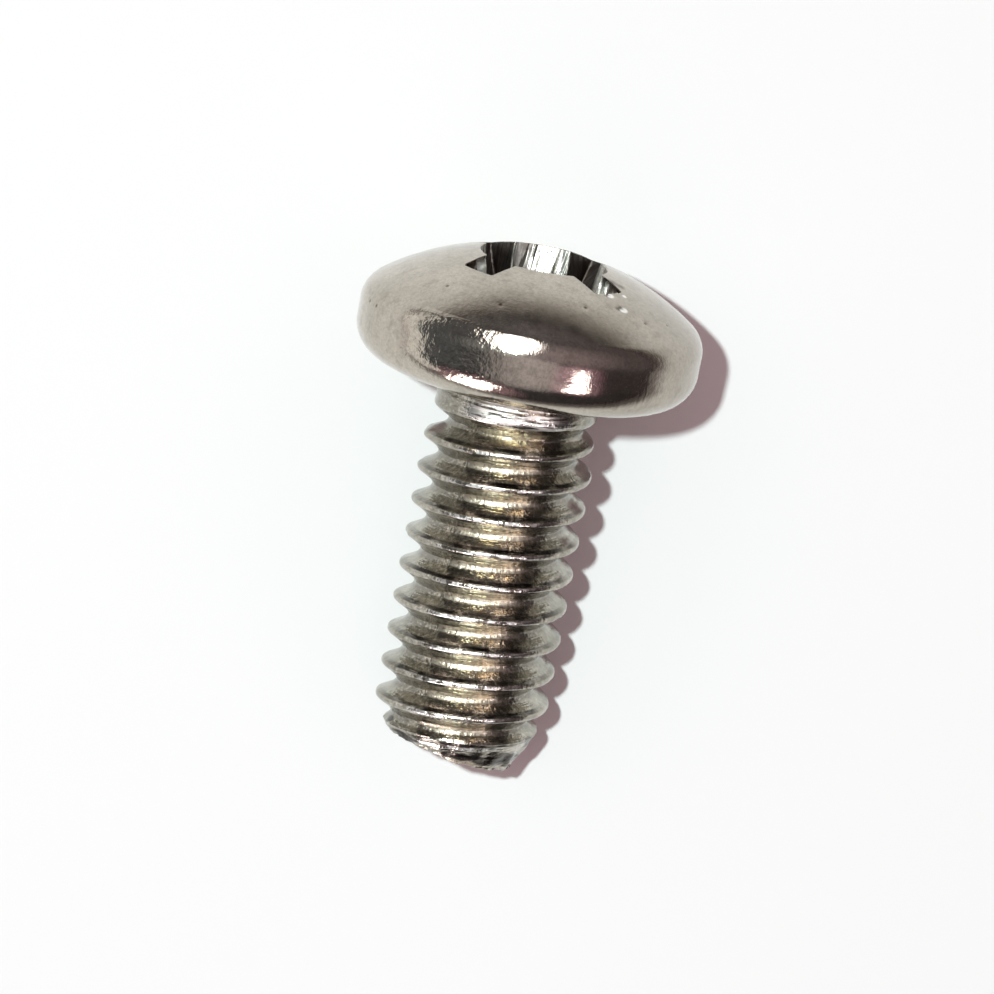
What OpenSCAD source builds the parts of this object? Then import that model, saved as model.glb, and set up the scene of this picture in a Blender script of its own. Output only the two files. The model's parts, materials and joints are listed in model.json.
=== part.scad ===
// Pan head machine screw with a cross recess.
// It lies as it comes to rest, on the edge of its head and a thread crest near its point.

/* [Thread] */
// Major diameter, over the thread crests
thread_d = 4.05; // [3.9:0.05:4.4]
// Threads in one inch of length
threads_per_inch = 32; // [28:1:40]
// Turn of the thread about the axis, 0 with a crest uppermost at the bearing face
thread_turn = 50; // [0:5:355]

/* [Shank] */
// Length from the bearing face to the middle of the end face
shank_l = 9; // [7:0.1:16]
// Diameter of the plain neck under the head
neck_d = 3.8; // [3.5:0.05:3.9]
// Length of the plain neck
neck_l = 0.65; // [0.5:0.05:1.5]
// Length over which the groove runs out towards the neck
runout_l = 0.5; // [0.3:0.05:1]
// Diameter of the chamfered point at the end face
end_d = 3.06; // [2.4:0.02:3.6]
// Angle of the point's chamfer from the axis
end_angle = 27; // [15:1:40]
// Slant of the sheared end face
end_slant = 10; // [0:1:12]

/* [Head] */
// Largest diameter of the head
head_d = 8.06; // [7.4:0.02:9]
// Height of the head, from the bearing face to the top of the dome
head_h = 3.04; // [2.9:0.02:3.6]
// Radius of the dome
dome_r = 6.3; // [5.6:0.1:9]
// Rounding between the dome and the side
rim_r = 0.7; // [0.3:0.05:0.9]
// Rounding between the side and the bearing face
edge_r = 0.8; // [0.3:0.05:0.9]
// Diameter of the transition cone where it leaves the bearing face
transition_d = 4.5; // [4.45:0.05:5]
// Depth of the transition cone below the bearing face
transition_h = 0.35; // [0.2:0.05:0.45]

/* [Recess] */
// Diameter across the wings, at the dome
recess_d = 4.4; // [4:0.05:4.6]
// Diameter of the core at the foot of the wings
core_d = 2.3; // [2.2:0.05:2.6]
// Width of a wing at the top of the dome
wing_w = 0.98; // [0.8:0.02:1.1]
// Draft of a wing's sides
wing_draft = 5.75; // [2:0.25:8]
// Slope of the wings' outer ends from the axis
wing_slope = 28; // [27:0.5:32]
// Draft of the core between the wings
core_draft = 9; // [4:0.5:12]
// Slope of the pointed bottom, from the plane of the bearing face
bottom_slope = 20; // [10:1:25]
// Turn of the wings about the axis, 0 with one wing uppermost
recess_turn = 48; // [0:1:89]

/* [Hidden] */

inch = 25.4;
round_fn = 96;
// Steps of the helix in one turn
helix_fn = 48;
// How far a cutting body or a buried end runs past the surface
reach = 0.1;
// Height of the ledge at the foot of a recess wing
ledge_h = 0.1;

// Thread form: 60 degree flanks, a flat crest of an eighth of the pitch and a rounded root
pitch = inch / threads_per_inch;
flank_half_angle = 30;
crest_w = pitch / 8;
thread_depth = 17 / 24 * pitch * cos(flank_half_angle);
// Share of the depth at which the flank bends into the root
root_bend = 0.92;
flank_w = root_bend * thread_depth * tan(flank_half_angle);
// Along one pitch: distance from the crest's middle, and depth as a share of the full depth
PROFILE = [
    [-crest_w / 2, 0],
    [crest_w / 2, 0],
    [crest_w / 2 + flank_w, root_bend],
    [pitch / 2, 1],
    [pitch - crest_w / 2 - flank_w, root_bend],
];

thread_r = thread_d / 2;
neck_r = neck_d / 2;
end_r = end_d / 2;
head_r = head_d / 2;

// Height of a crest's middle on the upper side, near the bearing face
crest_z = pitch * thread_turn / 360;
// The helix starts below the slanted end face and ends inside the head
end_drop = thread_r * tan(end_slant) + reach;
turns_below = ceil((shank_l + end_drop + crest_z) / pitch) + 1;
turns_above = 1;
helix_z = crest_z - turns_below * pitch;
helix_steps = (turns_below + turns_above) * helix_fn;

// Dome, rim and side of the head; the rim stands proud of the dome by a faint crease
crease = 0.01;
dome_z = head_h - dome_r;
rim_x = head_r - rim_r;
rim_offset = dome_r - rim_r + crease;
rim_z = dome_z + sqrt(pow(rim_offset, 2) - pow(rim_x, 2));
// Point beyond the dome, in line with the centres of the dome and the rim
rim_ray = [rim_x, rim_z - dome_z] * (dome_r + reach) / rim_offset + [0, dome_z];

// Recess: the wings' sloping ends meet the dome at the recess diameter
recess_r = recess_d / 2;
core_r = core_d / 2;
mouth_z = dome_z + sqrt(pow(dome_r, 2) - pow(recess_r, 2));
foot_z = mouth_z - (recess_r - core_r) / tan(wing_slope);
recess_top = head_h + reach;
// The wings end on a small ledge above the foot of the core
wing_z = foot_z + ledge_h;

// Tilt at rest: the head's lower edge touches the ground, and so does the first crest to reach it
under_z = crest_z + pitch / 2;
under_crests = [for (z = [under_z - 2 * pitch:-pitch:-shank_l]) z];
tilt = min([for (z = under_crests) rest_tilt(z, rod_r(-z, 0))]);
rest_drop = (head_r - edge_r) * cos(tilt) + edge_r * (1 - sin(tilt));
// Ends of the lying screw along its length, measured from the bearing face
head_end = dome_z * cos(tilt) + dome_r;
tip_end = shank_l * cos(tilt) + end_r * sin(tilt);

function ramp(x, from, to) = min(1, max(0, (x - from) / (to - from)));
// Share of the groove's depth, and crest radius, at a distance below the bearing face
function groove_share(d) = ramp(d, neck_l, neck_l + runout_l);
function crest_r(d) = neck_r + (thread_r - neck_r) * ramp(d, neck_l + runout_l, neck_l + 2 * runout_l);
function chamfer_r(d) = max(reach, end_r + (shank_l - d) * tan(end_angle));
function rod_r(d, share) = min(crest_r(d) - share * thread_depth * groove_share(d), chamfer_r(d));

// Half width of a recess wing, and radius of its sloping end, at a height
function wing_half_w(z) = wing_w / 2 - (head_h - z) * tan(wing_draft);
function wing_end_r(z) = core_r + (z - foot_z) * tan(wing_slope);

// Tilt at which the head's lower edge and a crest of radius r at height z touch the same ground
function rest_tilt(z, r) =
    let (run = edge_r - z)
    let (rise = head_r - edge_r - r)
    atan2(rise, run) + asin(edge_r / norm([rise, run]));

function helix_point(step, spot) =
    let (z = helix_z + pitch * step / helix_fn + spot[0])
    let (r = rod_r(-z, spot[1]))
    let (a = 360 * step / helix_fn)
    [r * cos(a), r * sin(a), z];

// Thread profile swept along the helix, one turn joined to the next, with a fan of faces at each end
module helix_rod() {
    m = len(PROFILE);
    n = helix_fn;
    last = helix_steps;
    // Spot k of the profile at a helix step; spot m is spot 0 of the next turn
    function at(step, k) = k == m ? (step + n) * m : step * m + k;
    points = [for (step = [0:last], spot = PROFILE) helix_point(step, spot)];
    low = len(points);
    high = low + 1;
    low_z = helix_z + pitch / 2;
    high_z = helix_z + pitch * (last / n + 0.5);
    sides = [
        for (step = [0:last - 1], k = [0:m - 1])
            if (k < m - 1 || step < last - n)
                each [
                    [at(step, k), at(step, k + 1), at(step + 1, k)],
                    [at(step + 1, k), at(step, k + 1), at(step + 1, k + 1)],
                ]
    ];
    low_loop = [for (step = [0:n]) at(step, 0), for (k = [m - 1:-1:1]) at(0, k)];
    high_loop = [for (k = [0:m - 1]) at(last, k), for (step = [last - 1:-1:last - n]) at(step, m - 1)];
    function fan(loop, tip) = [for (i = [0:len(loop) - 1]) [tip, loop[i], loop[(i + 1) % len(loop)]]];
    polyhedron(
        concat(points, [[0, 0, low_z], [0, 0, high_z]]),
        concat(sides, fan(low_loop, low), fan(high_loop, high)),
        convexity = 12
    );
}

// Everything beyond the slanted end face
module end_cut() {
    w = thread_d * 2;
    translate([0, 0, -shank_l]) rotate([-end_slant, 0, 0])
        translate([-w / 2, -w / 2, -w]) cube([w, w, w]);
}

module shank() {
    difference() {
        helix_rod();
        end_cut();
    }
}

// Half section of the head, with the transition cone reaching into the neck
module head_section() {
    translate([head_r - edge_r, edge_r]) circle(edge_r, $fn = round_fn);
    translate([rim_x, rim_z]) circle(rim_r, $fn = round_fn);
    intersection() {
        translate([0, dome_z]) circle(dome_r, $fn = round_fn);
        polygon([[0, rim_z], [rim_x, rim_z], rim_ray, [rim_ray[0], recess_top], [0, recess_top]]);
    }
    polygon([
        [0, -transition_h],
        [neck_r - reach, -transition_h],
        [transition_d / 2, 0],
        [head_r - edge_r, 0],
        [head_r, edge_r],
        [head_r, rim_z],
        [0, rim_z],
    ]);
}

module head() {
    rotate_extrude($fn = round_fn) head_section();
}

// One pair of opposite wings, with drafted sides
module wing_pair() {
    rotate([90, 0, 90]) linear_extrude(recess_d * 2, center = true)
        polygon([
            [-wing_half_w(wing_z), wing_z],
            [wing_half_w(wing_z), wing_z],
            [wing_half_w(recess_top), recess_top],
            [-wing_half_w(recess_top), recess_top],
        ]);
}

// Cone that the sloping ends of the wings lie on
module wing_cone() {
    top_z = recess_top + reach;
    rotate_extrude($fn = round_fn)
        polygon([[0, foot_z], [core_r, foot_z], [wing_end_r(top_z), top_z], [0, top_z]]);
}

// Drafted core between the wings, with a pointed bottom
module core() {
    top_r = core_r + (recess_top - foot_z) * tan(core_draft);
    point_z = foot_z - core_r * tan(bottom_slope);
    rotate_extrude($fn = round_fn)
        polygon([[0, point_z], [core_r, foot_z], [top_r, recess_top], [0, recess_top]]);
}

module recess() {
    rotate([0, 0, recess_turn]) {
        core();
        intersection() {
            union() {
                wing_pair();
                rotate([0, 0, 90]) wing_pair();
            }
            wing_cone();
        }
    }
}

module screw() {
    color("silver")
        translate([(head_end - tip_end) / 2, 0, rest_drop])
            rotate([0, tilt - 90, 0])
                difference() {
                    union() {
                        head();
                        shank();
                    }
                    recess();
                }
}

screw();
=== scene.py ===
"""Pan head screw with a cross recess, lying on a pale floor and seen from straight above."""
import json
import math

import bmesh
import bpy
import numpy as np
from mathutils import Matrix, Vector, noise


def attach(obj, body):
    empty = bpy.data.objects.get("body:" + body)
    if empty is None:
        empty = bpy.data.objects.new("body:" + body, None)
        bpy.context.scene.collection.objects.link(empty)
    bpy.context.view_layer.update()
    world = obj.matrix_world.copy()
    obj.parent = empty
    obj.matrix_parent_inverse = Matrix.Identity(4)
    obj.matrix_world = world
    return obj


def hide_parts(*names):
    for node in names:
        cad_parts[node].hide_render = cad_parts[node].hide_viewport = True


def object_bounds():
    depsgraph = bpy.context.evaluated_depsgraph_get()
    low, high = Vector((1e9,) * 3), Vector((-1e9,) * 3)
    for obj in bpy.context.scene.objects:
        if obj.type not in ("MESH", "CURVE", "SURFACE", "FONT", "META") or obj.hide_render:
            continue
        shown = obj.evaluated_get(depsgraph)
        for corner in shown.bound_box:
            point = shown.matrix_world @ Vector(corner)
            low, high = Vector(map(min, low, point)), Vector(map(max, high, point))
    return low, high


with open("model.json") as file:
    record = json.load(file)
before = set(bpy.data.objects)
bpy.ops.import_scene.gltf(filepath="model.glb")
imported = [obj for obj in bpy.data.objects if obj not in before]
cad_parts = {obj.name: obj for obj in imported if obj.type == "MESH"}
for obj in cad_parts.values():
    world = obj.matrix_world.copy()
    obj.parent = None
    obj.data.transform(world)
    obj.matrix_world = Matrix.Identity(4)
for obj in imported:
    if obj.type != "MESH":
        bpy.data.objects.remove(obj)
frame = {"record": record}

cad_low, cad_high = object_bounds()
MM = 0.001

# Sizes in millimetres, as in the part's source. The screw's own frame has z along the axis
# towards the head, z = 0 on the bearing face, and x on the side that lies uppermost.
PITCH = 25.4 / 32
THREAD_R = 4.05 / 2
THREAD_TURN = 50
NECK_R = 3.8 / 2
NECK_L = 0.65
RUNOUT_L = 0.5
SHANK_L = 9.0
END_R = 3.06 / 2
END_ANGLE = math.radians(27)
END_SLANT = math.radians(10)
HEAD_R = 8.06 / 2
HEAD_H = 3.04
DOME_R = 6.3
RIM_R = 0.7
EDGE_R = 0.8
TRANSITION_R = 4.5 / 2
RECESS_R = 4.4 / 2
CORE_R = 2.3 / 2
WING_W = 0.98
WING_DRAFT = math.radians(5.75)
WING_SLOPE = math.radians(28)
CORE_DRAFT = math.radians(9)
BOTTOM_SLOPE = math.radians(20)
RECESS_TURN = math.radians(48)

# Thread form: angle of the flanks, half width of the crest, and depth of the groove
FLANK = math.radians(30)
CREST_HALF = 0.058
THREAD_DEPTH = 0.42

# Small forms of the mesh alone. The head's rings end at NECK_Z, a gap away from the thread's mesh,
# and the gap is closed by triangles.
NECK_Z = -0.6
NECK_GAP = 0.02
WAIST = 0.05
FILLET_SHARE = 0.4
MOUTH_ROUNDING = 0.03
END_WEAR = 0.03

# Heights and radii that follow from the sizes
CREST_Z = PITCH * THREAD_TURN / 360
DOME_Z = HEAD_H - DOME_R
RIM_X = HEAD_R - RIM_R
RIM_Z = DOME_Z + math.sqrt((DOME_R - RIM_R) ** 2 - RIM_X ** 2)
MOUTH_Z = DOME_Z + math.sqrt(DOME_R ** 2 - RECESS_R ** 2)
FOOT_Z = MOUTH_Z - (RECESS_R - CORE_R) / math.tan(WING_SLOPE)

# Outward normal of the slanted end face
END_NO = Vector((0, -math.sin(END_SLANT), -math.cos(END_SLANT)))

# Mesh density: columns round the head, steps of the helix in a turn
HEAD_COLUMNS = 384
HELIX_STEPS = 160


def screw_matrix():
    """Places the screw's own frame, in millimetres, in the row frame."""
    mounts = {m["name"]: m for m in frame["record"]["mounts"]}
    apex = Vector(mounts["drive_recess"]["pos_m"])
    up = Vector(mounts["drive_recess"]["axis"]).normalized()
    side = Vector((0, 1, 0))
    top = side.cross(up)
    origin = apex - up * HEAD_H * MM
    turn = Matrix((top, side, up)).transposed().to_4x4()
    return Matrix.Translation(origin) @ turn @ Matrix.Scale(MM, 4)


def ramp(x, start, end):
    return np.clip((x - start) / (end - start), 0, 1)


def smooth(x):
    return x * x * (3 - 2 * x)


def rod_r(depth, share):
    """Radius of the threaded rod at a depth below the bearing face and a share of the groove's depth."""
    crest = NECK_R + (THREAD_R - NECK_R) * ramp(depth, NECK_L + RUNOUT_L, NECK_L + 2 * RUNOUT_L)
    groove = share * THREAD_DEPTH * ramp(depth, NECK_L, NECK_L + RUNOUT_L)
    chamfer = np.maximum(0.1, END_R + (SHANK_L - depth) * math.tan(END_ANGLE))
    return np.minimum(crest - groove, chamfer)


def dome_z(r):
    return DOME_Z + np.sqrt(DOME_R ** 2 - r ** 2)


def thread_profile():
    """Over one pitch: distance from the crest's middle, and share of the groove's depth."""
    half = CREST_HALF
    slope = 1 / (THREAD_DEPTH * math.tan(FLANK))
    # The root is a parabola that leaves the flanks without a bend
    root_w = (slope * (PITCH / 2 - half) - 1) / (slope / 2)
    bend = slope / 2 / root_w
    crest_r = half / math.tan(FLANK)
    tilts = [math.radians(a) for a in (-40, -20, 0, 20, 40, 60)]
    spots = [(crest_r * math.sin(a), crest_r * (1 - math.cos(a)) / THREAD_DEPTH) for a in tilts]
    foot = PITCH / 2 - root_w
    turn = spots[-1][0]
    middle = (turn + foot) / 2
    spots.append((middle, (middle - half) * slope))
    for t in (-1, -0.72, -0.46, -0.22, 0, 0.22, 0.46, 0.72, 1):
        spots.append((PITCH / 2 + t * root_w, 1 - bend * (t * root_w) ** 2))
    spots.append((PITCH - middle, (middle - half) * slope))
    spots.append((PITCH - turn, (turn - half) * slope))
    return np.array(spots)


def recess_half(z, part, t):
    """Plan points of the recess wall over half a wing's sector, one height for each column."""
    end = CORE_R + (z - FOOT_Z) * math.tan(WING_SLOPE)
    core = CORE_R + (z - FOOT_Z) * math.tan(CORE_DRAFT)
    half_w = WING_W / 2 - (HEAD_H - z) * math.tan(WING_DRAFT)
    end_a = np.arcsin(half_w / end)
    core_a = np.arcsin(half_w / core)
    side_x = end * np.cos(end_a) * (1 - t) + core * np.cos(core_a) * t
    x = np.select([part == 0, part == 1], [end * np.cos(end_a * t), side_x],
                  core * np.cos(core_a + (math.pi / 4 - core_a) * t))
    y = np.select([part == 0, part == 1], [end * np.sin(end_a * t), half_w],
                  core * np.sin(core_a + (math.pi / 4 - core_a) * t))
    return x, y


def recess_columns():
    """For every column: wing number, mirror sign, part of the outline, place on that part, ring angle."""
    half = HEAD_COLUMNS // 8
    cuts = (0, half // 4, half * 5 // 8, half)
    rows = []
    for wing in range(4):
        for j in range(-half, half):
            i = abs(j)
            part = 0 if i < cuts[1] else 1 if i < cuts[2] else 2
            t = (i - cuts[part]) / (cuts[part + 1] - cuts[part])
            if i == half:
                part, t = 2, 1.0
            axis = RECESS_TURN + wing * math.pi / 2
            rows.append((axis, -1 if j < 0 else 1, part, t, axis + j * math.pi / 4 / half))
    return [np.array(c) for c in zip(*rows)]


def recess_plan(z):
    """Plan points of the whole recess wall, one height for each column."""
    axis, sign, part, t, _ = COLUMNS
    x, y = recess_half(z, part, t)
    y = y * sign
    # A light smoothing round the loop rounds the wings' corners
    px = x * np.cos(axis) - y * np.sin(axis)
    py = x * np.sin(axis) + y * np.cos(axis)
    for _ in range(2):
        px = (np.roll(px, 1) + 2 * px + np.roll(px, -1)) / 4
        py = (np.roll(py, 1) + 2 * py + np.roll(py, -1)) / 4
    return px, py


COLUMNS = recess_columns()


def head_rows():
    """Rings of points from the bottom of the recess over the dome and rim to the neck."""
    rows = []
    angle = COLUMNS[4]
    ones = np.ones(HEAD_COLUMNS)

    # Pointed bottom and the foot of the walls
    foot_x, foot_y = recess_plan(FOOT_Z * ones)
    for s in (0.12, 0.35, 0.6, 0.82, 0.95):
        rows.append((foot_x * s, foot_y * s, (FOOT_Z - CORE_R * (1 - s) * math.tan(BOTTOM_SLOPE)) * ones))

    # Walls: up to the height at which each column meets the dome
    low, high = FOOT_Z * ones, (HEAD_H + 0.05) * ones
    for _ in range(40):
        mid = (low + high) / 2
        x, y = recess_plan(mid)
        under = mid < dome_z(np.hypot(x, y))
        low, high = np.where(under, mid, low), np.where(under, high, mid)
    mouth_z = low
    mouth_x, mouth_y = recess_plan(mouth_z)
    rounding = MOUTH_ROUNDING
    wall_top = mouth_z - rounding
    for s in np.linspace(0, 1, 17) ** 0.8:
        z = FOOT_Z + (wall_top - FOOT_Z) * s
        x, y = recess_plan(z)
        rows.append((x, y, z))
    wall = rows[-1]

    # Rounded mouth, from the wall over to the dome
    tx, ty = np.roll(mouth_x, -1) - np.roll(mouth_x, 1), np.roll(mouth_y, -1) - np.roll(mouth_y, 1)
    length = np.hypot(tx, ty)
    out_x, out_y = mouth_x + rounding * ty / length, mouth_y - rounding * tx / length
    outer = (out_x, out_y, dome_z(np.hypot(out_x, out_y)))
    mouth = (mouth_x, mouth_y, mouth_z)
    for t in (0.3, 0.5, 0.7, 1.0):
        rows.append(tuple(
            (1 - t) ** 2 * w + 2 * t * (1 - t) * m + t * t * o for w, m, o in zip(wall, mouth, outer)))

    # Dome, from the mouth to the rim
    rim_a = math.atan2(RIM_Z - DOME_Z, RIM_X)
    dome_edge = DOME_R * math.cos(rim_a)
    r0 = np.hypot(out_x, out_y)
    a0 = np.arctan2(out_y, out_x)
    lag = np.mod(angle - a0 + math.pi, 2 * math.pi) - math.pi
    for t in np.linspace(0, 1, 37)[1:] ** 1.2:
        r = r0 + (dome_edge - r0) * t
        a = a0 + lag * smooth(t)
        rows.append((r * np.cos(a), r * np.sin(a), dome_z(r)))

    # Rim, side, lower edge, bearing face and transition cone
    profile = []
    for t in np.linspace(1, 0, 17)[1:]:
        profile.append((RIM_X + RIM_R * math.cos(rim_a * t), RIM_Z + RIM_R * math.sin(rim_a * t)))
    for t in (0.33, 0.67):
        profile.append((HEAD_R, RIM_Z + (EDGE_R - RIM_Z) * t))
    for t in np.linspace(0, 1, 19):
        a = -math.pi / 2 * t
        profile.append((HEAD_R - EDGE_R + EDGE_R * math.cos(a), EDGE_R + EDGE_R * math.sin(a)))
    for t in (0.25, 0.5, 0.75, 0.93, 1.0):
        profile.append((HEAD_R - EDGE_R + (TRANSITION_R - HEAD_R + EDGE_R) * t, 0))
    for t in np.linspace(0, 1, 22)[1:]:
        waist = NECK_R - WAIST + WAIST * t
        profile.append((waist + (TRANSITION_R - waist) * max(0.0, 1 - t / FILLET_SHARE) ** 2, NECK_Z * t))
    for r, z in profile:
        rows.append((r * np.cos(angle), r * np.sin(angle), z * ones))
    return [np.stack(row, axis=1) for row in rows]


def zip_loops(bm, upper, lower):
    """Triangles between two loops of vertices that are both in order of angle."""
    def ang(v):
        return math.atan2(v.co.y, v.co.x)
    upper = sorted(upper, key=ang)
    lower = sorted(lower, key=ang)
    i = j = 0
    n, m = len(upper), len(lower)
    while i < n or j < m:
        next_u = ang(upper[i + 1]) if i + 1 < n else ang(upper[(i + 1) % n]) + 2 * math.pi
        next_l = ang(lower[j + 1]) if j + 1 < m else ang(lower[(j + 1) % m]) + 2 * math.pi
        if j >= m or (i < n and next_u <= next_l):
            bm.faces.new((upper[i % n], lower[j % m], upper[(i + 1) % n]))
            i += 1
        else:
            bm.faces.new((upper[i % n], lower[j % m], lower[(j + 1) % m]))
            j += 1


def boundary_loop(bm, test):
    """Points on open edges that pass a test."""
    return [v for v in bm.verts if v.is_boundary and test(v.co)]


def build_mesh():
    """The closed mesh of thread, end face and head, in the screw's own frame."""
    bm = bmesh.new()

    # Helix of the thread, longer than the shank at both ends
    spots = thread_profile()
    m, n = len(spots), HELIX_STEPS
    below = math.ceil((SHANK_L + 1.0 + CREST_Z) / PITCH) + 1
    total = (below + 1) * n
    steps = np.arange(total + 1)
    base = CREST_Z - below * PITCH + PITCH * steps / n
    z = base[:, None] + spots[None, :, 0]
    r = rod_r(-z, spots[None, :, 1])
    a = 2 * math.pi * steps / n
    xyz = np.stack([r * np.cos(a)[:, None], r * np.sin(a)[:, None], z], axis=2).reshape(-1, 3)
    verts = [bm.verts.new(p) for p in xyz]

    def at(step, k):
        return verts[(step + n) * m] if k == m else verts[step * m + k]
    for step in range(total):
        for k in range(m):
            if k < m - 1 or step < total - n:
                bm.faces.new((at(step, k), at(step + 1, k), at(step + 1, k + 1), at(step, k + 1)))

    # Cut square under the head and slanted at the point
    neck_z = NECK_Z - NECK_GAP
    geom = bm.verts[:] + bm.edges[:] + bm.faces[:]
    bmesh.ops.bisect_plane(bm, geom=geom, plane_co=(0, 0, neck_z), plane_no=(0, 0, 1), clear_outer=True)
    geom = bm.verts[:] + bm.edges[:] + bm.faces[:]
    bmesh.ops.bisect_plane(bm, geom=geom, plane_co=(0, 0, -SHANK_L), plane_no=END_NO, clear_outer=True)
    neck_loop = boundary_loop(bm, lambda c: c.z > -1)
    end_loop = boundary_loop(bm, lambda c: c.z < -1)

    # End face, in rings, with a worn edge
    end_loop.sort(key=lambda v: math.atan2(v.co.y, v.co.x))
    middle = Vector((0, 0, -SHANK_L))
    ring = end_loop
    for s in (0.965, 0.9, 0.78, 0.6, 0.4, 0.2):
        inner = [bm.verts.new(middle + (v.co - middle) * s) for v in end_loop]
        for i in range(len(ring)):
            j = (i + 1) % len(ring)
            bm.faces.new((ring[i], ring[j], inner[j], inner[i]))
        ring = inner
    pole = bm.verts.new(middle)
    for i in range(len(ring)):
        bm.faces.new((ring[i], ring[(i + 1) % len(ring)], pole))
    for v in end_loop:
        v.co -= END_NO * END_WEAR

    # Head
    rows = head_rows()
    rings = [[bm.verts.new(p) for p in row] for row in rows]
    pole = bm.verts.new((0, 0, FOOT_Z - CORE_R * math.tan(BOTTOM_SLOPE)))
    for i in range(HEAD_COLUMNS):
        j = (i + 1) % HEAD_COLUMNS
        bm.faces.new((pole, rings[0][i], rings[0][j]))
        for a_ring, b_ring in zip(rings, rings[1:]):
            bm.faces.new((a_ring[i], b_ring[i], b_ring[j], a_ring[j]))
    zip_loops(bm, rings[-1], neck_loop)

    bmesh.ops.recalc_face_normals(bm, faces=bm.faces[:])
    return bm


# Chips in the walls of the recess: where they start, width and depth. They and the ripples of the
# walls fade out over these depths below the mouth.
CHIP_R = 1.45
CHIP_W = 0.38
CHIP_DEPTH = 0.16
CHIP_FADE = 0.1
RIPPLE_FADE = 0.16

# Nicks lie on crests outside this radius, and the metal is torn from this depth on, more and more
NICK_R = 1.8
TORN_FROM = 8.1
TORN_RISE = 0.7

# Pits in the head: distance from the axis, angle, size and depth, in millimetres and degrees
PITS = (
    (2.28, 44.6, 0.08, 0.024),
    (2.34, 57.5, 0.06, 0.014),
    (2.72, 45.2, 0.10, 0.034),
    (3.01, -43.3, 0.07, 0.020),
    (3.17, 54.0, 0.06, 0.028),
    (3.31, 68.3, 0.05, 0.022),
    (2.72, 24.7, 0.07, 0.012),
    (3.08, -14.8, 0.07, 0.008),
    (4.01, -70.1, 0.07, 0.018),
    (4.0, -63.9, 0.07, 0.020),
)
# Pits further out than this lie on the side of the head, at this height
SIDE_PIT_R = 3.7
SIDE_PIT_Z = 1.41


def pit_place(r, a):
    """Middle of a pit, on the dome or on the side of the head."""
    a = math.radians(a)
    z = dome_z(r) if r < SIDE_PIT_R else SIDE_PIT_Z
    return r * math.cos(a), r * math.sin(a), z


def pit_depth(p):
    """How far a point of the head is pushed in by the pits."""
    push = 0.0
    for r, a, size, depth in PITS:
        gap = math.dist(p, pit_place(r, a)) / size
        if gap < 3:
            push += depth * math.exp(-gap * gap)
    return push


def wall_push(p, r):
    """Recess walls: ripples along the wall's height, and chips in the two upper wings."""
    a = math.atan2(p.y, p.x)
    spot = Vector((math.cos(a) * 7, math.sin(a) * 7, p.z * 0.7))
    below = dome_z(r) - p.z
    push = 0.016 * noise.noise(spot) + 0.007 * noise.noise(spot * 2.7)
    push *= min(1.0, below / RIPPLE_FADE)
    if p.x > 0.2 and r > CHIP_R:
        # Facets that fall away from the axis, one after the other
        wave = (r - CHIP_R) / CHIP_W % 1
        push -= CHIP_DEPTH * (1 - abs(2 * wave - 1)) * min(1.0, below / CHIP_FADE)
    return push


def head_push(p):
    """Outside of the head: a faint waviness, and the pits."""
    return 0.002 * noise.noise(p * 0.9) + 0.0006 * noise.noise(p * 2.3) - pit_depth(p)


def thread_push(p, r):
    """Thread: nicks on the crests, and torn metal near the point."""
    high = max(0.0, (r - NICK_R) / (THREAD_R - NICK_R))
    nick = max(0.0, noise.noise(p * 2.2 + Vector((5, 1, 3))) - 0.25)
    push = 0.004 * noise.noise(p * 3) - 0.05 * high * nick
    near_end = max(0.0, min(1.0, (-p.z - TORN_FROM) / TORN_RISE))
    torn = 0.06 * noise.noise(p * 2.6) + 0.02 * noise.noise(p * 6.1) - 0.02
    return push + near_end * torn


def neck_push(p):
    """Neck: marks that run round it."""
    a = math.atan2(p.y, p.x)
    spot = Vector((math.cos(a) * 1.6, math.sin(a) * 1.6, p.z * 9))
    return 0.03 * noise.noise(spot) + 0.008 * noise.noise(spot * 2.6)


def wear(bm):
    """Moves each point along its normal, as its part of the screw is worn."""
    bm.normal_update()
    moves = []
    for v in bm.verts:
        p = v.co
        r = math.hypot(p.x, p.y)
        push = 0.0
        if p.z > 0.02:
            wall = r < 2.3 and p.z < dome_z(r) - 0.02
            push = wall_push(p, r) if wall else head_push(p)
        elif p.z < -0.7:
            push = thread_push(p, r)
        elif p.z < -0.03:
            push = neck_push(p)
        moves.append((v, v.normal * push))
    for v, step in moves:
        v.co += step


# Order of the materials on the piece
HEAD, THREAD, RECESS, END = range(4)


def finish_mesh(bm):
    """Wears the mesh, gives each face its material, and makes the piece in the row frame."""
    wear(bm)
    for f in bm.faces:
        f.smooth = True
        f.material_index = HEAD
        c = f.calc_center_median()
        r = math.hypot(c.x, c.y)
        if c.z < -8.5 and f.normal.dot(END_NO) > 0.85:
            f.material_index = END
        elif c.z < -0.02:
            f.material_index = THREAD
        elif r < 2.25 and c.z < dome_z(r) - 0.012:
            f.material_index = RECESS
    bm.transform(screw_matrix())
    mesh = bpy.data.meshes.new("screw_visual")
    bm.to_mesh(mesh)
    bm.free()
    mesh.set_sharp_from_angle(angle=math.radians(38))
    piece = bpy.data.objects.new("screw_visual", mesh)
    bpy.context.scene.collection.objects.link(piece)
    return piece


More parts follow.
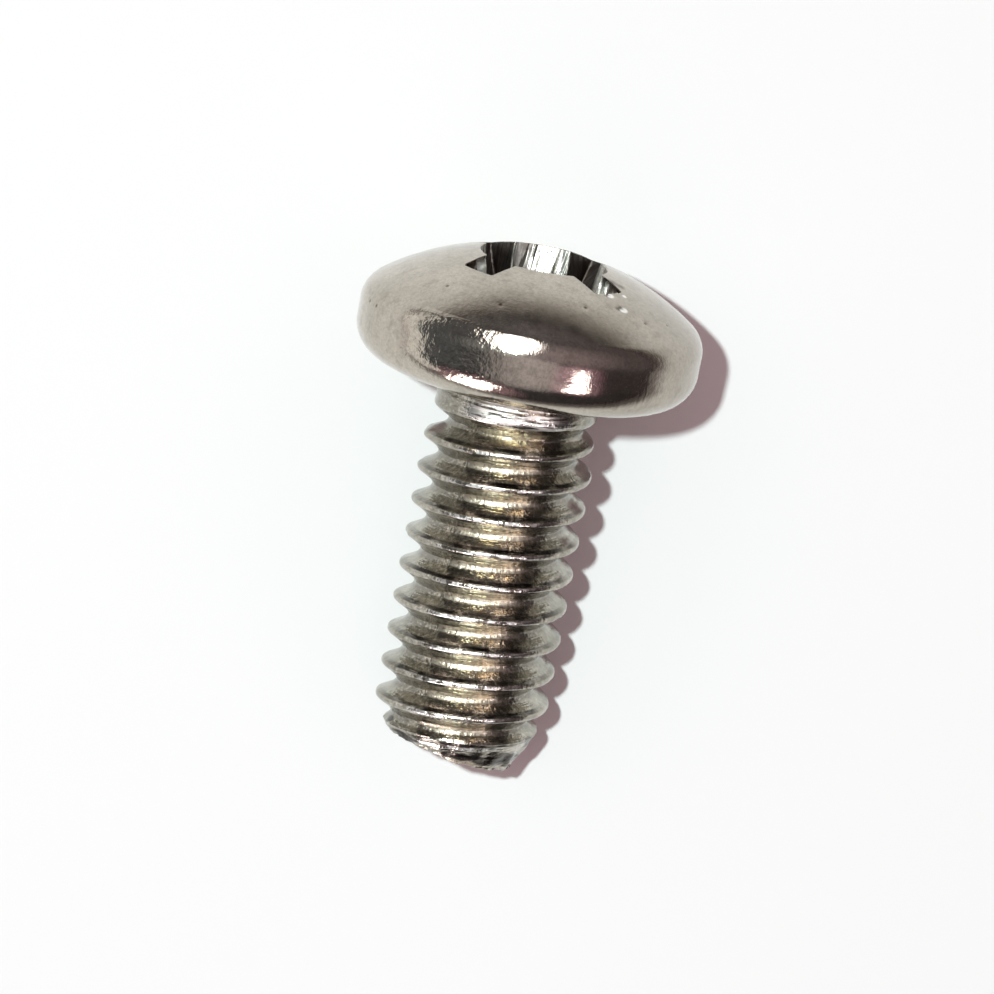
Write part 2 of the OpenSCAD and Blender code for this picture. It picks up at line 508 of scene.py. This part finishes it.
class Nodes:
    """Shorthand for building a node tree."""

    def __init__(self, tree):
        self.tree = tree

    def add(self, kind, outlet=0, props=None, **inputs):
        node = self.tree.nodes.new("ShaderNode" + kind)
        for name, value in (props or {}).items():
            setattr(node, name, value)
        for name, value in inputs.items():
            key = int(name[1:]) if name[0] == "_" and name[1:].isdigit() else name.replace("_", " ")
            self.set(node.inputs[key], value)
        return node.outputs[outlet]

    def set(self, socket, value):
        if isinstance(value, bpy.types.NodeSocket):
            self.tree.links.new(value, socket)
        else:
            socket.default_value = value

    def math(self, op, a, b=0.0):
        return self.add("Math", props={"operation": op}, _0=a, _1=b)

    def times(self, a, b):
        return self.math("MULTIPLY", a, b)

    def plus(self, a, b):
        return self.math("ADD", a, b)

    def minus(self, a, b):
        return self.math("SUBTRACT", a, b)

    def larger(self, a, b):
        return self.math("MAXIMUM", a, b)

    def gap(self, a, b):
        """Distance between two values."""
        return self.math("ABSOLUTE", self.minus(a, b))

    def grid(self, a, a_scale, b, b_scale):
        """Two coordinates, each at its own scale, for marks that are longer one way."""
        return self.add("CombineXYZ", X=self.times(a, a_scale), Y=self.times(b, b_scale))

    def span(self, value, low, high, to_low=0.0, to_high=1.0):
        return self.add("MapRange", Value=value, From_Min=low, From_Max=high, To_Min=to_low, To_Max=to_high)

    def mix(self, factor, a, b, blend="MIX"):
        node = self.tree.nodes.new("ShaderNodeMix")
        node.data_type = "RGBA"
        node.blend_type = blend
        self.set(node.inputs["Factor"], factor)
        self.set(node.inputs["A"], a)
        self.set(node.inputs["B"], b)
        return node.outputs["Result"]

    def noise(self, vector, scale, detail=2.0, rough=0.5):
        return self.add("TexNoise", Vector=vector, Scale=scale, Detail=detail, Roughness=rough)

    def dot(self, a, b):
        return self.add("VectorMath", outlet="Value", props={"operation": "DOT_PRODUCT"}, _0=a, _1=b)

    def local(self):
        """Coordinates in the screw's own frame, in millimetres."""
        where = self.add("TexCoord", outlet="Object")
        place = screw_matrix()
        return self.add(
            "Mapping", props={"vector_type": "TEXTURE"}, Vector=where,
            Location=place.translation, Rotation=place.to_euler(), Scale=(MM, MM, MM))


# Tones of the marks, painted highlights and painted shade on the thread and in the recess
ROOT_SHADE = (0.2, 0.19, 0.16, 1)
FLECK_GLINT = (0.86, 0.8, 0.7, 1)
FLECK_DARK = (0.09, 0.08, 0.065, 1)
GOLD_GLINT = (0.8, 0.64, 0.38, 1)
CREST_HIGHLIGHT = (0.9, 0.88, 0.85, 1)
HEAD_END_SHADE = (0.16, 0.15, 0.125, 1)
NECK_HIGHLIGHT = (0.95, 0.92, 0.87, 1)
CRACK_SHADE = (0.06, 0.055, 0.05, 1)
SEAM_SHADE = (0.03, 0.026, 0.022, 1)
WALL_STREAK = (0.08, 0.07, 0.058, 1)
LOWER_WING_SHADE = (0.045, 0.038, 0.033, 1)
RECESS_BOTTOM_DARK = (0.12, 0.1, 0.08, 1)
WING_END_SHADE = (0.15, 0.11, 0.085, 1)

# Dark spots beside a wing of the recess and in the pits, and painted highlights in pits: place, inner and
# outer radius, colour
DARK_SPOT = (0.10, 0.08, 0.06, 1)
PIT_HIGHLIGHT = (0.97, 0.96, 0.92, 1)
SPOTS = (
    ((0.80, 1.65, 2.76), 0.02, 0.2, DARK_SPOT),
    ((0.80, 1.86, 2.70), 0.02, 0.16, DARK_SPOT),
    ((1.65, 1.56, 2.61), 0.02, 0.08, DARK_SPOT),
    ((1.95, 1.87, 2.43), 0.02, 0.10, DARK_SPOT),
    ((1.57, 1.66, 2.61), 0.06, 0.11, PIT_HIGHLIGHT),
    ((1.88, 2.02, 2.40), 0.07, 0.12, PIT_HIGHLIGHT),
    ((1.24, 1.98, 2.59), 0.04, 0.07, PIT_HIGHLIGHT),
)


def shaded(tone):
    """A tone at half its brightness."""
    return tuple(0.5 * c for c in tone[:3]) + (1,)


class Steel(Nodes):
    """Node tree of one steel material, with coordinates in the screw's own frame."""

    def __init__(self, name):
        self.mat = bpy.data.materials.new(name)
        self.mat.use_nodes = True
        super().__init__(self.mat.node_tree)
        self.spot = self.local()
        axes = self.tree.nodes.new("ShaderNodeSeparateXYZ")
        self.set(axes.inputs[0], self.spot)
        self.x, self.y, self.z = axes.outputs
        self.angle = self.math("ARCTAN2", self.y, self.x)

    def stain(self, strength):
        """How strong the warm stain is, in patches."""
        return self.span(self.noise(self.spot, 2.3, 3.0), 0.45, 0.75, 0.0, strength)

    def metal(self, dark, pale, warm, stain):
        """Colour of bare metal: blotches between two tones, a warm stain, dark specks and clouds."""
        blotch = self.span(self.noise(self.spot, 0.9, 4.0, 0.6), 0.35, 0.65)
        fine = self.noise(self.spot, 6.0, 4.0, 0.65)
        cloud = self.span(self.noise(self.spot, 3.4, 3.0, 0.6), 0.52, 0.68, 0.0, 0.35)
        speck = self.span(self.noise(self.spot, 13.0, 4.0, 0.75), 0.4, 0.68, 0.0, 0.45)
        colour = self.mix(blotch, dark, pale)
        colour = self.mix(self.span(fine, 0.3, 0.7, 0.0, 0.5), colour, dark)
        colour = self.mix(stain, colour, warm)
        return self.mix(cloud, self.mix(speck, colour, shaded(dark)), shaded(dark))

    def dull(self, low, high):
        """Roughness, in patches between two values."""
        return self.span(self.noise(self.spot, 3.1, 3.0), 0.3, 0.7, low, high)

    def grain(self, scale, height):
        """Height of the fine grain."""
        return self.times(self.noise(self.spot, scale, 1.5), height)

    def lines(self, run, along, height):
        """Height of lines that are longer one way than the other."""
        drawn = self.add("CombineXYZ", X=run, Y=along)
        return self.times(self.noise(drawn, 1.0, 2.0), height)

    def finish(self, colour, dull, height):
        """Puts colour, roughness and height, in millimetres, on the shader."""
        bsdf = self.tree.nodes["Principled BSDF"]
        bsdf.inputs["Metallic"].default_value = 1.0
        self.set(bsdf.inputs["Base Color"], colour)
        self.set(bsdf.inputs["Roughness"], dull)
        self.set(bsdf.inputs["Normal"], self.add("Bump", Strength=1.0, Distance=MM, Height=height))
        return self.mat


def head_steel():
    """Head: a smooth dome and a scuffed side, with pits, stains, dark spots, painted highlights in pits and
    painted shade towards one side.
    """
    s = Steel("screw_head")
    z, angle = s.z, s.angle
    dark, pale, warm = (0.47, 0.43, 0.365, 1), (0.60, 0.55, 0.475, 1), (0.50, 0.44, 0.35, 1)
    colour = s.metal(dark, pale, warm, s.stain(0.25))
    # Painted shade: the head darker towards +y, the side away from the flash
    colour = s.mix(s.span(s.y, 1.2, 3.6, 0.0, 0.35), colour, shaded(dark))
    # Pits darker at the middle; then the dark spots and the painted pit highlights
    pits = tuple((pit_place(r, a), 0.3 * size, 0.9 * size, DARK_SPOT) for r, a, size, _ in PITS)
    for place, inner, outer, tone in pits + SPOTS:
        away = s.add("VectorMath", outlet="Value", props={"operation": "DISTANCE"}, _0=s.spot, _1=place)
        colour = s.mix(s.span(away, inner, outer, 0.9, 0.0), colour, tone)

    # Grain on the side, and scuffs and a mottle above the lower edge
    side = s.span(z, 1.76, 1.84, 1.0, 0.2)
    upper = s.times(side, s.span(z, 0.5, 0.75, 0.2, 1.0))
    patch = s.times(s.span(angle, -0.78, -0.6), s.span(angle, -0.2, 0.05, 1.0, 0.0))
    scuff = s.times(s.times(s.noise(s.spot, 9.0, 2.0), 0.014), s.times(patch, upper))
    plain = s.span(s.gap(angle, 0.3), 0.12, 0.3, 0.15, 1.0)
    mottle = s.times(s.times(s.noise(s.spot, 6.5, 2.0), s.times(upper, 0.0045)), plain)
    height = s.plus(s.times(s.grain(27.0, 0.0018), side), s.plus(scuff, mottle))
    # Lines up and down the lower edge
    low = s.times(s.span(z, 0.55, 0.95, 1.0, 0.15), s.span(z, 0.05, 0.3, 0.1, 1.0))
    lines = s.times(s.lines(s.times(angle, 30.0), s.times(z, 0.5), 0.0045), low)
    dull = s.times(s.dull(0.12, 0.20), s.span(z, 1.76, 1.84, 0.65, 1.0))
    return s.finish(colour, dull, s.plus(height, lines))


def thread_steel():
    """Thread and neck: dark flanks, painted highlights and glints on roots, crests and neck, painted shade
    in lines, cracks, root sides and near the head, and a torn point.
    """
    s = Steel("screw_thread")
    x, y, z, angle = s.x, s.y, s.z, s.angle
    # Roots and crests carry painted highlights on the upper side only
    off_top = s.math("ABSOLUTE", angle)
    upper = s.span(off_top, 0.8, 0.4)
    # The phase follows the helix: 0 and 1 on a crest, a half in the root
    along = s.minus(z, s.times(angle, PITCH / (2 * math.pi)))
    phase = s.math("FRACT", s.times(s.minus(along, CREST_Z), 1 / PITCH))
    off_root = s.gap(phase, 0.5)
    root = s.span(off_root, 0.2, 0.08)
    root_highlight = s.times(root, upper)
    top = s.times(s.span(off_root, 0.42, 0.45), upper)
    broken = s.noise(s.grid(angle, 7.0, along, 3.0), 1.0, 3.0)
    crest = s.times(top, s.span(broken, 0.44, 0.54, 0.1, 1.0))
    # Rough foot of the flank beside the root, with painted golden glints near the top, and painted
    # highlight in streaks round the upper side of the neck
    foot = s.span(s.gap(phase, 0.29), 0.1, 0.04)
    rough_glint_foot = s.times(foot, s.span(s.gap(angle, 0.16), 0.45, 0.15))
    turned = s.noise(s.grid(angle, 3.0, z, 16.0), 1.0, 3.0)
    neck = s.times(s.times(s.span(z, -0.95, -0.75), upper), s.span(turned, 0.4, 0.52))

    # The warm tone is a stain in patches, and a painted cream highlight in the roots
    stain = s.larger(s.times(s.stain(0.5), 0.4), s.times(root_highlight, 0.9))
    colour = s.metal((0.32, 0.305, 0.255, 1), (0.58, 0.55, 0.48, 1), (0.92, 0.82, 0.64, 1), stain)
    # Painted shade: roots darker away from the upper side
    colour = s.mix(s.times(root, s.minus(0.7, upper)), colour, ROOT_SHADE)
    # Pale and dark flecks, mostly on the upper side; the pale ones are painted glints
    fleck = s.noise(s.grid(angle, 18.0, along, 15.0), 1.0, 2.0)
    shown = s.span(off_top, 0.7, 1.3, 1.0, 0.2)
    colour = s.mix(s.times(shown, s.span(fleck, 0.56, 0.66, 0.0, 0.5)), colour, FLECK_GLINT)
    colour = s.mix(s.times(shown, s.span(fleck, 0.44, 0.34, 0.0, 0.6)), colour, FLECK_DARK)
    # Painted golden glints at the foot of the flank, just off the top, where the grain is also rougher
    gold = s.span(s.noise(s.spot, 5.0, 2.0), 0.45, 0.6, 0.1, 0.7)
    colour = s.mix(s.times(rough_glint_foot, gold), colour, GOLD_GLINT)
    # Painted highlight along the upper side of the crests, broken into dashes
    colour = s.mix(s.times(crest, 0.85), colour, CREST_HIGHLIGHT)
    # Painted shade, darker towards the head
    colour = s.mix(s.span(z, -3.6, -1.0, 0.0, 0.2), colour, HEAD_END_SHADE)
    # Painted highlight: white streaks on the upper side of the neck
    colour = s.mix(s.times(neck, 0.95), colour, NECK_HIGHLIGHT)
    # Torn metal at the point: bright facets with painted shade in dark cracks between them
    torn = s.add("CombineXYZ", X=s.times(x, 1.3), Y=s.times(y, 1.3), Z=s.times(z, 3.2))
    crack_shade = s.span(s.noise(torn, 1.0, 3.0), 0.44, 0.5, 0.9, 0.0)
    colour = s.mix(s.times(crack_shade, s.span(z, -8.1, -8.4)), colour, CRACK_SHADE)
    # Painted shade: a dark line on the head side of each crest
    edge = s.span(s.gap(phase, 0.125), 0.06, 0.03)
    seam_shade = s.times(edge, s.span(s.noise(s.spot, 2.0, 3.0), 0.4, 0.6, 0.45, 1.0))
    seam_shade = s.times(seam_shade, s.span(off_top, 0.9, 1.35, 1.0, 0.25))
    colour = s.mix(s.times(seam_shade, s.span(z, -0.85, -0.95)), colour, SEAM_SHADE)

    dull = s.dull(0.12, 0.26)
    for mark, least in ((root_highlight, 0.42), (crest, 0.36), (neck, 0.5)):
        dull = s.larger(dull, s.times(mark, least))
    # Lines along the helix, and across it on roots and crests
    grain = s.times(s.grain(12.0, 0.008), s.plus(1.0, s.times(rough_glint_foot, 2.0)))
    lines = s.lines(s.times(angle, 1.5), s.times(along, 12.0), 0.022)
    across = s.lines(s.times(angle, 22.0), s.times(along, 6.0), s.times(s.larger(root_highlight, top), 0.022))
    return s.finish(colour, dull, s.plus(grain, s.plus(lines, across)))


def recess_steel():
    """Recess: steel paler than the head's as a painted highlight, dark streaks, painted shade in the two
    lower wings and brown painted shade at the ends of the upper wings.
    """
    s = Steel("screw_recess")
    x, y, z, angle = s.x, s.y, s.z, s.angle
    plan = s.add("CombineXYZ", X=x, Y=y)
    reach = s.add("VectorMath", outlet="Value", props={"operation": "LENGTH"}, _0=plan)
    # A paler copy of the steel than the head's: painted highlight, so that the walls show white
    colour = s.metal((0.66, 0.64, 0.6, 1), (0.86, 0.84, 0.8, 1), (0.4, 0.31, 0.24, 1), s.stain(0.4))
    ridge = s.plus(s.times(angle, 9.0), s.times(reach, 5.0))
    facet = s.noise(s.add("CombineXYZ", X=ridge, Y=s.times(z, 0.7)), 1.0, 2.0)
    colour = s.mix(s.span(facet, 0.42, 0.46, 0.9, 0.0), colour, WALL_STREAK)
    # Painted shade in the two lower wings
    wing = s.math("COSINE", s.times(s.minus(angle, RECESS_TURN), 4.0))
    lower_wing_shade = s.times(s.span(wing, -0.1, 0.25), s.span(x, -0.25, -0.5, 0.0, 0.94))
    colour = s.mix(lower_wing_shade, colour, LOWER_WING_SHADE)
    # Darker towards the bottom of the recess
    colour = s.mix(s.span(z, FOOT_Z + 0.25, FOOT_Z - 0.1, 0.0, 0.6), colour, RECESS_BOTTOM_DARK)
    # Brown painted shade at the outer ends of the upper wings; it starts nearer the core in the right wing
    shade_reach = s.plus(reach, s.span(y, -0.2, 0.2, 0.0, 0.1))
    wing_end_shade = s.times(s.span(shade_reach, 1.78, 1.9), s.span(x, -0.2, 0.2, 0.0, 0.85))
    colour = s.mix(wing_end_shade, colour, WING_END_SHADE)
    run = s.plus(s.times(angle, 18.0), s.times(reach, 10.0))
    lines = s.lines(run, s.times(z, 0.6), 0.03)
    return s.finish(colour, s.dull(0.3, 0.46), s.plus(s.grain(9.0, 0.006), lines))


def end_steel():
    """Sheared end face, with lines across it."""
    s = Steel("screw_end")
    colour = s.metal((0.3, 0.285, 0.255, 1), (0.56, 0.53, 0.48, 1), (0.36, 0.28, 0.2, 1), s.stain(0.45))
    lines = s.lines(s.times(s.x, 1.6), s.times(s.y, 11.0), 0.03)
    return s.finish(colour, s.dull(0.26, 0.44), s.plus(s.grain(9.0, 0.01), lines))


screw = finish_mesh(build_mesh())
# In the order of the faces' materials
for make in (head_steel, thread_steel, recess_steel, end_steel):
    screw.data.materials.append(make())
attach(screw, "root")
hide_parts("screw")

# Directions of the picture on the floor
IMAGE_UP = Vector((-0.983, -0.184, 0)).normalized()
IMAGE_RIGHT = Vector((-0.184, 0.983, 0)).normalized()

# Floor: white paper that darkens outside the picture, ahead of the head, beside it and behind the point
floor_mat = bpy.data.materials.new("floor_paper")
floor_mat.use_nodes = True
n = Nodes(floor_mat.node_tree)
paper = floor_mat.node_tree.nodes["Principled BSDF"]
place = n.add("TexCoord", outlet="Object")
ahead = n.dot(place, IMAGE_UP * 0.85 + IMAGE_RIGHT * 0.53)
aside = n.dot(place, IMAGE_RIGHT * 0.85 - IMAGE_UP * 0.53)
tone = n.mix(n.span(ahead, 0.0165, 0.04), (0.92, 0.92, 0.92, 1), (0.36, 0.34, 0.32, 1))
tone = n.mix(n.span(ahead, 0.04, 0.09), tone, (0.1, 0.095, 0.09, 1))
tone = n.mix(n.span(aside, 0.0165, 0.035, 0.0, 0.8), tone, (0.2, 0.17, 0.17, 1))
behind = n.dot(place, -IMAGE_UP)
tone = n.mix(n.span(behind, 0.0125, 0.03, 0.0, 0.85), tone, (0.12, 0.11, 0.105, 1))
n.set(paper.inputs["Base Color"], tone)
paper.inputs["Roughness"].default_value = 0.9
paper.inputs["Specular IOR Level"].default_value = 0.1
bm = bmesh.new()
bmesh.ops.create_circle(bm, cap_ends=True, segments=96, radius=3.0)
mesh = bpy.data.meshes.new("floor")
bm.to_mesh(mesh)
bm.free()
floor = bpy.data.objects.new("floor", mesh)
floor.location.z = cad_low.z
floor.data.materials.append(floor_mat)
bpy.context.scene.collection.objects.link(floor)

# Camera: straight down, far off, so that the view is nearly parallel
LOOK_AT = Vector((-0.145, -0.056, 3.76)) * MM
CAMERA_FAR = 0.2
PICTURE_W = 994
MM_PER_PIXEL = 0.02324
VIEW_W = PICTURE_W * MM_PER_PIXEL * MM
cam = bpy.data.cameras.new("camera")
cam.sensor_width = 36
cam.lens = cam.sensor_width * CAMERA_FAR / VIEW_W
cam.clip_start = 0.001
cam.clip_end = 20
camera = bpy.data.objects.new("camera", cam)
turn = Matrix((IMAGE_RIGHT, IMAGE_UP, Vector((0, 0, 1)))).transposed().to_4x4()
camera.matrix_world = Matrix.Translation(LOOK_AT + Vector((0, 0, CAMERA_FAR))) @ turn
bpy.context.scene.collection.objects.link(camera)
bpy.context.scene.camera = camera

# Lamps with a round outline; the others are rectangles
ROUND_LAMPS = ("flash", "strip", "window_right")


def direction(right, up):
    """Direction given by angles in degrees from the zenith, as the camera sees them."""
    zenith = math.hypot(right, up)
    flat = (IMAGE_RIGHT * right + IMAGE_UP * up) / zenith
    return flat * math.sin(math.radians(zenith)) + Vector((0, 0, math.cos(math.radians(zenith))))


def lamp(name, right, up, far, size, radiance, colour, roll=0, shine_only=True):
    """An area lamp; one that is for shine only shows in the metal and leaves the floor as it is."""
    data = bpy.data.lights.new(name, "AREA")
    round_lamp = name in ROUND_LAMPS
    data.shape = "ELLIPSE" if round_lamp else "RECTANGLE"
    data.size, data.size_y = size
    area = size[0] * size[1] * (math.pi / 4 if round_lamp else 1)
    data.energy = radiance * math.pi * area
    data.color = colour
    towards = direction(right, up)
    obj = bpy.data.objects.new(name, data)
    obj.location = LOOK_AT + towards * far
    turn = towards.to_track_quat("Z", "Y").to_matrix() @ Matrix.Rotation(math.radians(roll), 3, "Z")
    obj.rotation_euler = turn.to_euler()
    obj.visible_camera = False
    obj.visible_diffuse = not shine_only
    bpy.context.scene.collection.objects.link(obj)


lamp("flash", -8.2, 4.3, 0.2, (0.007, 0.007), 2760, (0.866, 1, 0.981), shine_only=False)
lamp("strip", -1.0, 36, 0.15, (0.074, 0.21), 5.5, (1, 0.97, 0.97), roll=-13)
lamp("window_left", -44, -63, 0.15, (0.05, 0.075), 9.0, (1, 0.93, 0.94))
lamp("window_right", 31, -37, 0.15, (0.042, 0.031), 12.0, (1, 0.92, 0.94))
lamp("card_left", -80, 20, 0.12, (0.28, 0.03), 0.95, (1, 0.99, 0.96))

# Room: dark, cooler on the left, with soft glows. Right and up, inner and outer angle, colour
GLOWS = (
    (31, -36, 8, 20, (0.35, 0.17, 0.23, 1)),
    (-44, -63, 15, 28, (0.35, 0.2, 0.24, 1)),
    (-4, -29, 5, 29, (0.52, 0.475, 0.485, 1)),
    (22, 12, 5, 48, (0.2, 0.15, 0.165, 1)),
    (-26, 6, 3, 26, (0.16, 0.16, 0.16, 1)),
)
world = bpy.data.worlds.new("room")
bpy.context.scene.world = world
world.use_nodes = True
n = Nodes(world.node_tree)
sight = n.add("TexCoord", outlet="Generated")
room = n.mix(n.span(n.dot(sight, IMAGE_RIGHT), -0.8, 0.8), (0.13, 0.135, 0.145, 1), (0.14, 0.115, 0.12, 1))
room = n.mix(n.span(n.dot(sight, IMAGE_UP), -0.15, -0.5, 0.0, 0.7), room, (0.02, 0.018, 0.018, 1))
for right, up, inner, outer, colour in GLOWS:
    far_cos, near_cos = math.cos(math.radians(outer)), math.cos(math.radians(inner))
    near = n.span(n.dot(sight, direction(right, up)), far_cos, near_cos)
    room = n.mix(near, room, colour, "ADD")
fill = n.mix(n.add("LightPath", outlet="Is Diffuse Ray"), room, (0.37, 0.26, 0.275, 1))
n.set(world.node_tree.nodes["Background"].inputs["Color"], fill)

bpy.context.scene.view_settings.view_transform = "Standard"
